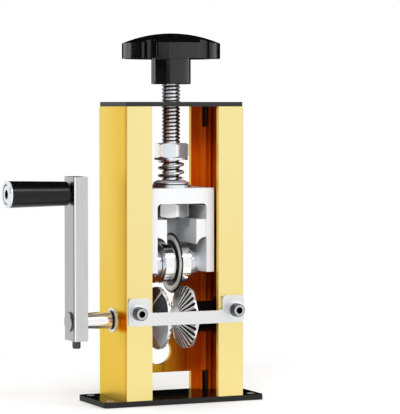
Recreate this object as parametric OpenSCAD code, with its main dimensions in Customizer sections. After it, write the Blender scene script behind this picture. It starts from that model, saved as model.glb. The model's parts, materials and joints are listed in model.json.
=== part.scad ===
// Hand crank wire stripper
// A gold channel frame stands on a black base plate. A crank turns a toothed, grooved
// feed roller. A round blade between two depth rings hangs above it in a slider block,
// which a knob and a threaded rod lower through a pressure spring.
// X runs left to right along the crank shaft, Y runs front to back and Z points up.
// The origin is the centre of the four bench holes, on the underside of the base plate.

/* [Frame] */
// Width of the channel frame, left to right
frame_w = 70; // [66:0.5:80]
// Depth of the channel frame, front to back
frame_d = 40; // [38:0.5:46]
// Wall thickness of the channel frame
frame_wall = 2.8; // [2:0.1:3.2]
// Radius of the outer edges of the channel frame
frame_edge_r = 0.8; // [0.4:0.1:1.6]
// Share of the frame width that the front slot between the two lips takes
slot_w_share = 0.566; // [0.55:0.002:0.58]
// Height of the sill of the rear window below the slider block
window_sill_drop = 2.8; // [2:0.1:4]
// Height of the cable notch at the foot of the rear wall
notch_h = 10.3; // [5:0.1:12]
// Diameter of the round hole low in the rear wall
sight_d = 15; // [8:0.5:15]
// Height of the round hole above the base plate
sight_h = 22.3; // [20:0.1:24]
// Width of the wire outlet in the rear wall, behind the roller
outlet_w = 25; // [21:0.5:28]
// Height of the web between the wire outlet and the rear window
outlet_bridge = 5; // [4:0.5:8]
// Room that the wire outlet leaves round the roller
outlet_room = 0.6; // [0.4:0.1:1.5]
// Corner radius of the wire outlet
outlet_r = 3; // [1:0.5:6]

/* [Screw ports] */
// Distance of each screw port from the outer face of the side wall beside it
port_inset = 7.4; // [6.5:0.1:8]
// Outer diameter of a screw port
port_d = 6.4; // [5.6:0.1:6.6]
// Bore of a screw port
port_bore_d = 3.5; // [3:0.1:3.8]
// Width of the slit along a screw port
port_slit_w = 2.4; // [1.6:0.1:2.8]

/* [Plates] */
// How far the base plate stands out beside the frame on each side
base_overhang = 12.5; // [11:0.5:20]
// Thickness of the base plate
base_t = 3; // [2.6:0.1:6]
// Corner radius of the base plate
base_corner_r = 2; // [1:0.5:4]
// Distance of the bench holes from the ends of the base plate
bench_edge_x = 5; // [4.5:0.1:6]
// Distance of the bench holes from the front and rear edges of the base plate
bench_edge_y = 6; // [4.5:0.1:10]
// Diameter of the bench holes
bench_hole_d = 4.5; // [3:0.1:5.5]
// Thickness of the top plate
top_t = 2.5; // [2.4:0.1:5]
// How far the top plate stays inside the outline of the frame
top_inset = 0.35; // [0.1:0.05:1]
// Diameter of the plate screws
plate_screw_d = 3.4; // [2.8:0.1:3.4]
// Head diameter of the plate screws
plate_screw_head_d = 6.8; // [6:0.1:7]
// Length of the plate screws below the plate
plate_screw_reach = 11; // [8:0.5:16]

/* [Guide bar] */
// How far the ends of the guide bar stay inside the outer faces of the side walls
guide_inset = 0.5; // [0:0.1:1.5]
// Thickness of the wire guide bar
guide_t = 1.8; // [1.5:0.1:3]
// Height of the lower edge of the guide bar above the base plate
guide_h = 40.8; // [38:0.1:41]
// Height of the bar between its ears
guide_bar_h = 7.1; // [6:0.1:9]
// Width of an ear
guide_ear_w = 13; // [12:0.1:14]
// Height of an ear
guide_ear_h = 15.2; // [14:0.1:18]
// Corner radius of an ear
guide_corner_r = 2; // [1:0.1:3]
// Distance of the guide screws from the outer faces of the side walls
guide_screw_inset = 6; // [5.6:0.1:6.6]
// Height of the guide screws above the base plate
guide_screw_h = 47.9; // [47:0.1:49]
// Diameter of the guide screws
guide_screw_d = 4; // [3:0.1:4.4]
// Head diameter of the guide screws
guide_screw_head_d = 7; // [6:0.1:7.6]
// Length of the guide screws below the head
guide_screw_len = 12; // [9:0.5:13]
// Outer diameter of the flat washers
flat_washer_d = 10; // [8.5:0.1:11]
// Thickness of the flat washers
flat_washer_t = 0.8; // [0.5:0.1:1.2]
// Thickness of the spring washers
lock_washer_t = 1; // [0.8:0.1:1.4]

/* [Drive] */
// Height of the crank shaft above the base plate
shaft_h = 42.8; // [42.4:0.1:43.4]
// Diameter of the crank shaft
shaft_d = 10; // [9:0.1:10.2]
// Diameter of the shaft where the crank sits on it
crank_seat_d = 8.6; // [7.5:0.1:9]
// Outer diameter of the bush sleeves in the side walls
bush_d = 12; // [11.6:0.1:12.4]
// Diameter of the bush flanges outside the side walls
bush_flange_d = 13.4; // [13:0.1:15]
// Thickness of the bush flanges
bush_flange_t = 0.9; // [0.6:0.1:1.5]
// Diameter of the shaft spacers
spacer_d = 17.3; // [14:0.1:18]
// Room between the spacer flange and the front and rear walls
spacer_flange_room = 4.95; // [4.9:0.05:6]
// Length of the spacer flange
spacer_flange_len = 2.4; // [1.5:0.1:3]

/* [Feed roller] */
// Setback of the feed roller behind the front and rear faces of the frame
roller_inset = 2.65; // [2.2:0.05:3.5]
// Diameter of the bottom of its groove
groove_d = 12.4; // [12.2:0.1:14]
// Distance from the middle of the groove to the tips of the teeth at the rim
rim_front = 6.8; // [6:0.1:7.2]
// Depth of the teeth at the rim
tooth_depth = 1.4; // [0.8:0.1:1.8]
// Number of teeth on each side of the groove
tooth_count = 30; // [24:6:48]
// Thickness of the rim behind the valleys of the teeth, at its thinnest places
rim_land = 0.6; // [0.4:0.1:1.2]
// Distance from the middle of the groove to the hub face
hub_half = 13.6; // [12.5:0.1:14]
// Diameter of the hub face
hub_d = 17; // [15:0.1:19]
// Diameter of the roller pin
roller_pin_d = 3; // [2:0.1:3.5]

/* [Crank] */
// Width of the crank arm
arm_w = 15; // [13:0.1:17]
// Thickness of the crank arm
arm_t = 7.9; // [7:0.1:10]
// Diameter of the shaft's head outside the crank arm
shaft_head_d = 10.8; // [10:0.1:12]
// Thickness of the shaft's head
shaft_head_t = 1.3; // [0.8:0.1:2]
// Gap between the frame and the crank arm
arm_gap = 17.4; // [15:0.1:24]
// Distance from the shaft to the handle axis
crank_r = 69.9; // [65:0.1:73]
// Distance from the handle axis to the upper end of the arm
arm_head = 9.2; // [8.2:0.1:12]
// Distance from the lower end of the arm to the shaft
arm_tail = 10.4; // [9:0.1:12]
// Diameter of the crank set screw
set_screw_d = 4.6; // [3.5:0.1:5.5]
// How far the set screw stands out of the arm
set_screw_out = 4.4; // [2:0.1:6]
// Length of the grip sleeve
grip_len = 34.6; // [30:0.1:60]
// Diameter of the grip at the arm
grip_inner_d = 13.2; // [12.6:0.1:16]
// Diameter of the grip at its outer end
grip_outer_d = 14.5; // [14:0.1:18]
// Thickness of the ring at the end of the grip
grip_ring_t = 1.5; // [1:0.1:3]
// Diameter of the handle bolt
handle_bolt_d = 6; // [5:0.1:6.6]
// Head diameter of the handle bolt
handle_head_d = 10.4; // [9:0.1:10.8]
// Head length of the handle bolt
handle_head_len = 4; // [3:0.1:6]

/* [Pressure screw] */
// Diameter of the threaded rod
rod_d = 10; // [9:0.1:10.4]
// Height of the upper nut
nut_h = 8; // [7:0.1:8.4]
// Width across the flats of the nuts
nut_af = 17; // [16:0.1:17.2]
// Outer diameter of the washer under the upper nut
spring_washer_d = 18.6; // [16:0.1:19]
// Thickness of the washer under the upper nut
spring_washer_t = 1.2; // [0.8:0.1:2]
// Outer diameter of the pressure spring
spring_d = 14.6; // [14.4:0.1:15.4]
// Wire diameter of the pressure spring
spring_wire_d = 1.6; // [1.2:0.1:1.7]
// Length of the pressure spring at rest
spring_len = 11.4; // [10.4:0.1:14]
// Number of coils of the pressure spring
spring_coils = 2.5; // [2.5:0.5:3]
// Outer diameter of the spring seat
seat_d = 20; // [18:0.1:21]
// Thickness of the spring seat
seat_t = 2.4; // [2:0.1:4]
// Outer diameter of the washer on the slider
seat_washer_d = 21.8; // [20:0.1:23]
// Thickness of the washer on the slider
seat_washer_t = 1.5; // [1:0.1:2.5]

/* [Knob] */
// Largest diameter of the star knob
knob_d = 54.4; // [50:0.1:64]
// Number of lobes of the star knob
knob_lobes = 5; // [4:1:7]
// Diameter of the notches between the lobes
knob_notch_d = 7; // [5:0.1:11]
// Turn of the notches about the screw axis, in degrees
knob_turn = 76.4; // [0:0.1:120]
// Height of the knob head at its middle
knob_head_h = 14; // [13:0.1:20]
// Height of the rim of the knob head
knob_rim_h = 8.4; // [7:0.1:10]
// Diameter of the knob neck
knob_neck_d = 21.8; // [18:0.1:24]
// Length of the knob neck
knob_neck_len = 14; // [10:0.1:16]
// Free height between the top plate and the knob neck
knob_gap = 9.8; // [9:0.1:12]

/* [Slider] */
// Side gap between the slider block and each edge of the frame's slots
block_side_gap = 0.55; // [0.4:0.05:0.8]
// Height of the slider block
block_h = 46.4; // [44:0.1:46.6]
// Setback of the front of the block behind the inner face of the lips
block_setback = 1.9; // [1:0.1:2.4]
// Thickness of the roof of the slider block
block_roof_t = 8.6; // [7.5:0.1:9]
// Thickness of the legs of the slider block
block_leg_t = 4.6; // [4.2:0.1:5]
// Half width of the slot between the two cheeks
cheek_half = 8.8; // [8.6:0.1:9.2]
// Height of the upper pocket, from the roof to the top of the cheeks
nut_pocket_h = 8.6; // [8.4:0.1:9]
// Corner radius of the upper pocket
pocket_r = 2.2; // [1:0.1:3]
// Height of the inner foot of each cheek above the underside of the block
cheek_foot = 15.6; // [15.2:0.1:17]
// Height of the outer foot of each cheek above the underside of the block
cheek_foot_outer = 19.4; // [18:0.1:20]
// Setback of the cheeks behind the front of the block
cheek_setback = 0.6; // [0.3:0.1:1.5]
// Room between the depth rings and the rear wall of the pocket
pocket_room = 1.7; // [1:0.1:2.4]
// Thickness of the slide strips
strip_t = 1.9; // [1.2:0.1:2.4]
// Setback of the front of the strips behind the front of the block
strip_setback = 2.2; // [1:0.1:4]

/* [Blade wheel] */
// Height of the blade axle above the underside of the block
axle_up = 4.5; // [4.4:0.05:4.8]
// Diameter of the blade axle
axle_d = 6; // [5:0.1:6]
// Setback of the blade behind the front and rear faces of the frame
blade_inset = 3.2; // [3:0.1:4]
// Thickness of the blade
blade_t = 1.2; // [0.8:0.1:1.6]
// Width of the ground bevel at the edge of the blade
blade_bevel = 2.6; // [1:0.1:3]
// Diameter of the depth rings
ring_d = 22.2; // [20:0.1:22.6]
// Distance from the blade plane to the outer face of a depth ring
ring_reach = 8.2; // [7.5:0.1:9]
// Gap between the depth rings and the feed roller
nip_gap = 2.05; // [1.5:0.05:3]

/* [Travel] */
// How far the knob can raise the slider
feed_up = 20; // [10:0.5:20]
// How far the slider can float up against the spring
float_travel = 5; // [3:0.5:5]

/* [Fits] */
// Radial clearance of a shaft that runs in its bore
run_fit = 0.05; // [0.02:0.01:0.09]
// Gap between a part that moves and the face beside it
side_play = 0.3; // [0.2:0.05:0.4]
// Radial clearance of a loose hole over a rod
loose_fit = 0.35; // [0.3:0.05:0.5]
// Gap between the slider strips and the rear wall
slide_gap = 0.35; // [0.3:0.05:0.6]

/* [Hidden] */
$fn = 64;
overrun = 1;
edge_chamfer = 0.6;
fine_chamfer = 0.4;
circlip_t = 1;
circlip_groove = 0.5;
circlip_proud = 2;
circlip_gap_share = 0.5;
shaft_tip = 1.8;
cone_run_share = 0.8;
shaft_taper_start = 3.4;
lock_split_w = 1;
lock_washer_d = 7.4;
washer_bore_slack = 0.3;
hex_socket_share = 0.5;
socket_depth_share = 0.6;
csk_share = 0.62;
csk_socket_share = 0.6;
hub_hex_sides = 6;
strip_screw_d = 3;
strip_screw_head_d = 5.4;
strip_screw_len = 6.5;
strip_screw_low = 24.2;
strip_screw_high = 42;
spacer_step = 2.6;
axle_boss_d = 14.6;
axle_spacer_d = 11.8;
hub_ring_d = 15;
rod_in_knob = 20;
rod_tail = 1;
spring_ring_points = 10;
wire_sides = 6;
spring_squeeze_share = 0.15;
spring_turn = -24;
blade_slot_side = 0.8;
blade_slot_room = 0.6;
nut_turn_room = 0.6;
port_overlap_share = 0.1;
guide_fillet_r = 1.5;
grip_round_r = 2.2;
knob_blend_r = 1.8;
knob_notch_share = 0.97;
set_screw_tip = 0.8;

// Places worked out from the sizes above
frame_z = base_t;
wall_x = frame_w / 2;
wall_y = frame_d / 2;
inner_x = wall_x - frame_wall;
inner_y = wall_y - frame_wall;
slot_w = frame_w * slot_w_share;
base_w = frame_w + 2 * base_overhang;
bench_x = base_w / 2 - bench_edge_x;
bench_y = wall_y - bench_edge_y;
port_x = wall_x - port_inset;
port_y = inner_y - port_d / 2 + port_overlap_share * port_d;
shaft_z = base_t + shaft_h;
guide_y = -wall_y - guide_t;
guide_w = frame_w - 2 * guide_inset;
guide_screw_x = wall_x - guide_screw_inset;
guide_screw_z = base_t + guide_screw_h;
arm_x = -wall_x - arm_gap;
arm_left = arm_x - arm_t;
handle_z = shaft_z + crank_r;
grip_start = arm_left - side_play;
grip_end = grip_start - grip_len;
roller_r = wall_y - roller_inset;
ring_r = ring_d / 2;
blade_r = wall_y - blade_inset;
axle_z = shaft_z + roller_r + nip_gap + ring_r;
block_z = axle_z - axle_up;
block_top = block_z + block_h;
block_front = -inner_y + block_setback;
block_back = wall_y - side_play;
block_half = slot_w / 2 - block_side_gap;
pocket_half = block_half - block_leg_t;
roof_z = block_top - block_roof_t;
pocket_back = ring_r + pocket_room;
window_sill_z = block_z - window_sill_drop;
// the roller turns clear of the lower edge of the wire outlet
outlet_low_z = shaft_z - outlet_room
    - sqrt(max(0, pow(roller_r + outlet_room, 2) - pow(inner_y, 2)));
outlet_top_z = window_sill_z - outlet_bridge;
spacer_flange_r = inner_y - spacer_flange_room;
arm_len = arm_tail + crank_r + arm_head;
seat_z = block_top + seat_washer_t;
spring_z = seat_z + seat_t;
spring_washer_z = spring_z + spring_len;
upper_nut_z = spring_washer_z + spring_washer_t;
// the upper nut stops just below the top plate
frame_top = upper_nut_z + nut_h + feed_up + side_play;
frame_h = frame_top - frame_z;
lower_nut_z = roof_z - nut_h;
rod_z = lower_nut_z - rod_tail;
knob_z = frame_top + top_t + knob_gap;
knob_head_z = knob_z + knob_neck_len;
rod_top = knob_z + rod_in_knob;
nut_corner_r = nut_af / 2 / cos(30);
circlip_x = wall_x + bush_flange_t + side_play;
arm_z = shaft_z - arm_tail;
handle_head_x = grip_end - grip_ring_t + side_play;
grip_bore_r = handle_head_d / 2 + loose_fit;
csk_h = (plate_screw_head_d - plate_screw_d) * csk_share;
strip_csk_h = (strip_screw_head_d - strip_screw_d) / 2;
// flats of the hexagons that end the roller
hub_flat_r = hub_d / 2 * cos(180 / hub_hex_sides);
pyramid_slope = (hub_half - rim_front - tooth_depth - rim_land) / (roller_r - hub_flat_r);

// Solid helpers

// A cylinder along X from x0 to x1
module rod_x(x0, x1, d, d2 = undef) {
    translate([x0, 0, 0]) rotate([0, 90, 0])
        cylinder(h = x1 - x0, d1 = d, d2 = d2 == undef ? d : d2);
}

// A cylinder along Y from y0 to y1
module rod_y(y0, y1, d) {
    translate([0, y1, 0]) rotate([90, 0, 0]) cylinder(h = y1 - y0, d = d);
}

// A flat ring standing on the XY plane
module flat_ring(od, id, h) {
    difference() {
        cylinder(h = h, d = od);
        translate([0, 0, -overrun]) cylinder(h = h + 2 * overrun, d = id);
    }
}

// A rectangle with round corners, centred
module round_rect(w, d, r) {
    square([w - 2 * r, d], center = true);
    square([w, d - 2 * r], center = true);
    for (x = [-1, 1], y = [-1, 1])
        translate([x * (w / 2 - r), y * (d / 2 - r)]) circle(r = r);
}

// A rectangle between two corners
module rect_between(x0, y0, x1, y1) {
    translate([x0, y0]) square([x1 - x0, y1 - y0]);
}

module mirror_copy(direction) {
    children();
    mirror(direction) children();
}

// Places of the four screw ports, or of the bench holes
module at_four(x, y) {
    for (i = [-1, 1], j = [-1, 1]) translate([i * x, j * y, 0]) children();
}

// Base plate and its screws

module base_plate() {
    color([0.09, 0.09, 0.1]) difference() {
        linear_extrude(base_t) round_rect(base_w, frame_d, base_corner_r);
        at_four(bench_x, bench_y)
            translate([0, 0, -overrun]) cylinder(h = base_t + 2 * overrun, d = bench_hole_d);
        at_four(port_x, port_y) countersink();
    }
}

// A countersunk hole that opens downwards at the origin
module countersink() {
    translate([0, 0, -overrun])
        cylinder(h = base_t + top_t + 2 * overrun, d = plate_screw_d + 2 * run_fit);
    cylinder(h = csk_h, d1 = plate_screw_head_d + 2 * run_fit, d2 = plate_screw_d + 2 * run_fit);
    translate([0, 0, -overrun]) cylinder(h = overrun, d = plate_screw_head_d + 2 * run_fit);
}

// A countersunk screw with its head at the origin and its shank upwards
module plate_screw(plate_t) {
    difference() {
        union() {
            cylinder(h = csk_h, d1 = plate_screw_head_d, d2 = plate_screw_d);
            cylinder(h = plate_t + plate_screw_reach - fine_chamfer, d = plate_screw_d);
            translate([0, 0, plate_t + plate_screw_reach - fine_chamfer])
                cylinder(h = fine_chamfer, d1 = plate_screw_d, d2 = plate_screw_d - 2 * fine_chamfer);
        }
        translate([0, 0, -overrun])
            cylinder(h = overrun + csk_h * socket_depth_share,
                     d = plate_screw_d * csk_socket_share, $fn = 6);
    }
}

module base_screws() {
    color([0.12, 0.12, 0.13]) at_four(port_x, port_y) plate_screw(base_t);
}

module top_plate() {
    color([0.16, 0.16, 0.17]) translate([0, 0, frame_top]) difference() {
        linear_extrude(top_t)
            round_rect(frame_w - 2 * top_inset, frame_d - 2 * top_inset, frame_edge_r);
        translate([0, 0, -overrun]) cylinder(h = top_t + 2 * overrun, d = rod_d + 2 * run_fit);
        at_four(port_x, port_y) translate([0, 0, top_t]) mirror([0, 0, 1]) countersink();
    }
}

module top_screws() {
    color([0.12, 0.12, 0.13]) at_four(port_x, port_y)
        translate([0, 0, frame_top + top_t]) mirror([0, 0, 1]) plate_screw(top_t);
}

// Channel frame: one lipped C extrusion with four screw ports, then machined

module screw_port_profile() {
    difference() {
        union() {
            circle(d = port_d);
            rect_between(-port_d / 2, 0, port_d / 2, inner_y - port_y + overrun);
        }
        circle(d = port_bore_d);
        rect_between(-port_slit_w / 2, -port_d, port_slit_w / 2, 0);
    }
}

module frame_profile() {
    difference() {
        round_rect(frame_w, frame_d, frame_edge_r);
        square([2 * inner_x, 2 * inner_y], center = true);
        rect_between(-slot_w / 2, -frame_d, slot_w / 2, 0);
    }
    for (side = [-1, 1]) {
        translate([side * port_x, port_y]) screw_port_profile();
        translate([side * port_x, -port_y]) mirror([0, 1]) screw_port_profile();
    }
}

module frame_channel() {
    color([0.93, 0.78, 0.36]) difference() {
        translate([0, 0, frame_z]) linear_extrude(frame_h) frame_profile();
        // rear window, open at the top
        translate([-slot_w / 2, 0, window_sill_z]) cube([slot_w, frame_d, frame_h]);
        // cable notch at the foot of the rear wall
        translate([-slot_w / 2, 0, frame_z - overrun])
            cube([slot_w, frame_d, notch_h + overrun]);
        translate([0, 0, frame_z + sight_h]) rod_y(0, frame_d, sight_d);
        // wire outlet
        translate([0, frame_d, (outlet_low_z + outlet_top_z) / 2]) rotate([90, 0, 0])
            linear_extrude(frame_d) round_rect(outlet_w, outlet_top_z - outlet_low_z, outlet_r);
        translate([0, 0, shaft_z]) rod_x(-frame_w, frame_w, bush_d + 2 * run_fit);
        for (side = [-1, 1]) translate([side * guide_screw_x, 0, guide_screw_z])
            rod_y(-frame_d, -port_y + port_d, guide_screw_d + 2 * run_fit);
    }
}

// Wire guide bar and its fasteners

module guide_bar_outline() {
    half = guide_w / 2;
    rect_between(-half + guide_corner_r, 0, half - guide_corner_r, guide_bar_h);
    for (side = [-1, 1]) translate([side * (half - guide_ear_w / 2), guide_ear_h / 2])
        round_rect(guide_ear_w, guide_ear_h, guide_corner_r);
    // fillets between the bar and its ears
    for (side = [0, 1]) mirror([side, 0]) translate([half - guide_ear_w, guide_bar_h])
        difference() {
            translate([-guide_fillet_r, 0]) square(guide_fillet_r);
            translate([-guide_fillet_r, guide_fillet_r]) circle(r = guide_fillet_r);
        }
}

module guide_bar() {
    color([0.86, 0.86, 0.87]) difference() {
        translate([0, -wall_y, base_t + guide_h]) rotate([90, 0, 0])
            linear_extrude(guide_t) guide_bar_outline();
        for (side = [-1, 1]) translate([side * guide_screw_x, 0, guide_screw_z])
            rod_y(-frame_d, 0, guide_screw_d + washer_bore_slack);
    }
}

module guide_flat_washers() {
    color([0.85, 0.85, 0.86]) for (side = [-1, 1])
        translate([side * guide_screw_x, guide_y, guide_screw_z]) rotate([90, 0, 0])
            flat_ring(flat_washer_d, guide_screw_d + washer_bore_slack, flat_washer_t);
}

module guide_lock_washers() {
    color([0.3, 0.3, 0.32]) for (side = [-1, 1])
        translate([side * guide_screw_x, guide_y - flat_washer_t, guide_screw_z])
            rotate([90, 0, 0]) difference() {
                flat_ring(lock_washer_d, guide_screw_d + washer_bore_slack, lock_washer_t);
                translate([0, -lock_split_w / 2, -overrun])
                    cube([lock_washer_d, lock_split_w, lock_washer_t + 2 * overrun]);
            }
}

// A socket head cap screw with its head up and its seat at the origin
module cap_screw(d, head_d, head_h, len) {
    difference() {
        union() {
            cylinder(h = head_h - fine_chamfer, d = head_d);
            translate([0, 0, head_h - fine_chamfer])
                cylinder(h = fine_chamfer, d1 = head_d, d2 = head_d - 2 * fine_chamfer);
            translate([0, 0, -len]) cylinder(h = len, d = d);
        }
        translate([0, 0, head_h - head_h * socket_depth_share])
            cylinder(h = head_h, d = head_d * hex_socket_share, $fn = 6);
    }
}

module guide_screws() {
    color([0.1, 0.1, 0.11]) for (side = [-1, 1])
        translate([side * guide_screw_x, guide_y - flat_washer_t - lock_washer_t, guide_screw_z])
            rotate([90, 0, 0])
                cap_screw(guide_screw_d, guide_screw_head_d, guide_screw_d, guide_screw_len);
}

// Shaft bushes and spacers

module bush_right_side() {
    bore = shaft_d + 2 * run_fit;
    translate([0, 0, shaft_z]) difference() {
        union() {
            rod_x(inner_x, wall_x + bush_flange_t, bush_d);
            rod_x(wall_x, wall_x + bush_flange_t, bush_flange_d);
        }
        rod_x(0, frame_w, bore);
        rod_x(wall_x + bush_flange_t - fine_chamfer, wall_x + bush_flange_t, bore,
              bore + 2 * fine_chamfer);
    }
}

module left_bush() {
    color([0.82, 0.82, 0.83]) mirror([1, 0, 0]) bush_right_side();
}

module right_bush() {
    color([0.82, 0.82, 0.83]) bush_right_side();
}

// A sleeve from the roller hub to the wall, with a flared flange at the wall
module spacer_right_side() {
    x0 = hub_half + side_play;
    x3 = inner_x - run_fit;
    x2 = x3 - spacer_flange_len;
    x1 = x2 - (spacer_flange_r - spacer_d / 2) * cone_run_share;
    bore_r = shaft_d / 2 + loose_fit;
    translate([0, 0, shaft_z]) rotate([0, 90, 0]) rotate_extrude() polygon([
        [bore_r, x0], [spacer_d / 2 - fine_chamfer, x0], [spacer_d / 2, x0 + fine_chamfer],
        [spacer_d / 2, x1], [spacer_flange_r, x2], [spacer_flange_r, x3 - edge_chamfer],
        [spacer_flange_r - edge_chamfer, x3], [bore_r, x3]
    ]);
}

module left_spacer() {
    color([0.08, 0.08, 0.09]) mirror([1, 0, 0]) spacer_right_side();
}

module right_spacer() {
    color([0.08, 0.08, 0.09]) spacer_right_side();
}

// Drive shaft, roller and crank

module drive_shaft() {
    right_end = circlip_x + circlip_t + shaft_tip;
    taper_x = -wall_x - shaft_taper_start;
    head_x = arm_left - shaft_head_t;
    color([0.8, 0.8, 0.82]) translate([0, 0, shaft_z]) difference() {
        union() {
            rod_x(head_x, head_x + fine_chamfer, shaft_head_d - 2 * fine_chamfer, shaft_head_d);
            rod_x(head_x + fine_chamfer, arm_left, shaft_head_d);
            rod_x(arm_left, arm_x, crank_seat_d);
            rod_x(arm_x, taper_x, crank_seat_d, shaft_d);
            rod_x(taper_x, right_end - edge_chamfer, shaft_d);
            rod_x(right_end - edge_chamfer, right_end, shaft_d, shaft_d - 2 * edge_chamfer);
        }
        // groove of the circlip
        difference() {
            rod_x(circlip_x, circlip_x + circlip_t, shaft_d + overrun);
            rod_x(circlip_x - overrun, circlip_x + circlip_t + overrun, shaft_d - 2 * circlip_groove);
        }
        // cross hole of the roller pin
        translate([0, 0, -shaft_d]) cylinder(h = 2 * shaft_d, d = roller_pin_d + 2 * run_fit);
    }
}

module shaft_circlip() {
    bore = shaft_d - 2 * circlip_groove + 2 * run_fit;
    clip_d = shaft_d + 2 * circlip_proud;
    color([0.25, 0.25, 0.27]) translate([0, 0, shaft_z]) difference() {
        rod_x(circlip_x + run_fit, circlip_x + circlip_t - run_fit, clip_d);
        rod_x(circlip_x - overrun, circlip_x + circlip_t + overrun, bore);
        translate([circlip_x - overrun, 0, -bore * circlip_gap_share / 2])
            cube([circlip_t + 2 * overrun, clip_d, bore * circlip_gap_share]);
    }
}

// Half of the feed roller: a cone of radial teeth towards the groove and a six-sided
// pyramid towards the wall. The middle of the groove lies at x = 0.
function rim_angle(i) = 360 * i / (2 * tooth_count);
function from_flat(a) = abs((a + 720) % (360 / hub_hex_sides) - 180 / hub_hex_sides);
// Place along the axis of the pyramid face at a radius and an angle
function pyramid_x(r, a) = hub_half - (r * cos(from_flat(a)) - hub_flat_r) * pyramid_slope;

module roller_half() {
    n = 2 * tooth_count;
    groove_r = groove_d / 2;
    flank = rim_front / roller_r;
    deep = tooth_depth / roller_r;
    middle = [for (i = [0:n - 1]) let (a = rim_angle(i))
        [0, groove_r * cos(a), groove_r * sin(a)]];
    root = [for (i = [0:n - 1]) let (a = rim_angle(i))
        [groove_r * (flank + (i % 2) * deep), groove_r * cos(a), groove_r * sin(a)]];
    tips = [for (i = [0:n - 1]) let (a = rim_angle(i))
        [roller_r * (flank + (i % 2) * deep), roller_r * cos(a), roller_r * sin(a)]];
    rear = [for (i = [0:n - 1]) let (a = rim_angle(i))
        [pyramid_x(roller_r, a), roller_r * cos(a), roller_r * sin(a)]];
    hub = [for (i = [0:n - 1]) let (a = rim_angle(i), r = hub_flat_r / cos(from_flat(a)))
        [hub_half, r * cos(a), r * sin(a)]];
    rows = [middle, root, tips, rear, hub];
    points = [for (row = rows, p = row) p];
    sides = [for (k = [0:len(rows) - 2], i = [0:n - 1])
        let (a = k * n + i, b = k * n + (i + 1) % n, c = a + n, d = b + n)
        each [[a, b, d], [a, d, c]]];
    front_cap = [for (i = [n - 1:-1:0]) i];
    back_cap = [for (i = [0:n - 1]) (len(rows) - 1) * n + i];
    polyhedron(points, concat(sides, [front_cap, back_cap]));
}

module feed_roller() {
    color([0.78, 0.78, 0.8]) translate([0, 0, shaft_z]) difference() {
        union() {
            roller_half();
            rotate([0, 0, 180]) roller_half();
        }
        rod_x(-frame_w, frame_w, shaft_d + 2 * run_fit);
        translate([0, 0, -roller_r]) cylinder(h = 2 * roller_r, d = roller_pin_d + 2 * run_fit);
    }
}

module roller_pin() {
    color([0.4, 0.4, 0.42]) translate([0, 0, shaft_z - groove_d / 2])
        cylinder(h = groove_d, d = roller_pin_d);
}

module crank_arm() {
    color([0.82, 0.82, 0.83]) difference() {
        translate([arm_left, -arm_w / 2, arm_z]) cube([arm_t, arm_w, arm_len]);
        translate([0, 0, shaft_z]) rod_x(arm_left - overrun, arm_x + overrun,
                                         crank_seat_d + 2 * run_fit);
        translate([0, 0, handle_z]) rod_x(arm_left - overrun, arm_x + overrun,
                                          handle_bolt_d + 2 * run_fit);
        translate([arm_left + arm_t / 2, 0, arm_z - overrun])
            cylinder(h = arm_tail, d = set_screw_d + 2 * run_fit);
    }
}

module crank_set_screw() {
    len = set_screw_out + arm_tail - crank_seat_d / 2 - run_fit;
    color([0.1, 0.1, 0.11]) translate([arm_left + arm_t / 2, 0, arm_z - set_screw_out])
        difference() {
            union() {
                cylinder(h = set_screw_tip, d1 = set_screw_d - set_screw_tip, d2 = set_screw_d);
                translate([0, 0, set_screw_tip])
                    cylinder(h = len - set_screw_tip, d = set_screw_d);
            }
            translate([0, 0, -overrun])
                cylinder(h = overrun + set_screw_out * hex_socket_share,
                         d = set_screw_d * hex_socket_share, $fn = 6);
        }
}

module handle_bolt() {
    x0 = handle_head_x;
    color([0.8, 0.8, 0.82]) translate([0, 0, handle_z]) difference() {
        union() {
            rod_x(x0 + handle_head_len, arm_x, handle_bolt_d);
            rod_x(x0 + fine_chamfer, x0 + handle_head_len, handle_head_d);
            rod_x(x0, x0 + fine_chamfer, handle_head_d - 2 * fine_chamfer, handle_head_d);
        }
        translate([x0 - overrun, 0, 0]) rotate([0, 90, 0])
            cylinder(h = overrun + handle_head_len * socket_depth_share,
                     d = handle_head_d * hex_socket_share, $fn = 6);
    }
}

module handle_grip() {
    bore_r = handle_bolt_d / 2 + run_fit;
    inner_r = grip_inner_d / 2;
    // a quarter circle rounds the end beside the arm
    round_points = [for (a = [0:15:90])
        [inner_r - grip_round_r * (1 - cos(a)), grip_start - grip_round_r * (1 - sin(a))]];
    floor_x = handle_head_x + handle_head_len + side_play;
    color([0.07, 0.07, 0.08]) translate([0, 0, handle_z]) rotate([0, 90, 0]) rotate_extrude()
        polygon(concat(
            [[grip_bore_r, grip_end], [grip_outer_d / 2, grip_end]],
            round_points,
            [[bore_r, grip_start], [bore_r, floor_x], [grip_bore_r, floor_x]]));
}

module grip_end_ring() {
    outer_r = grip_outer_d / 2;
    color([0.85, 0.85, 0.86]) translate([0, 0, handle_z]) rotate([0, 90, 0]) rotate_extrude()
        polygon([
            [grip_bore_r, grip_end - grip_ring_t], [outer_r - edge_chamfer, grip_end - grip_ring_t],
            [outer_r, grip_end - grip_ring_t + edge_chamfer], [outer_r, grip_end],
            [grip_bore_r, grip_end]
        ]);
}

// Pressure screw: knob, rod and nuts

// Outline of the star head: a disc with round notches and softened lobe corners
module knob_outline() {
    offset(r = knob_blend_r) offset(r = -2 * knob_blend_r) offset(r = knob_blend_r)
        difference() {
            circle(d = knob_d, $fn = 90);
            for (i = [0:knob_lobes - 1]) rotate(knob_turn + i * 360 / knob_lobes)
                translate([knob_d / 2 * knob_notch_share, 0]) circle(d = knob_notch_d, $fn = 24);
        }
}

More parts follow.
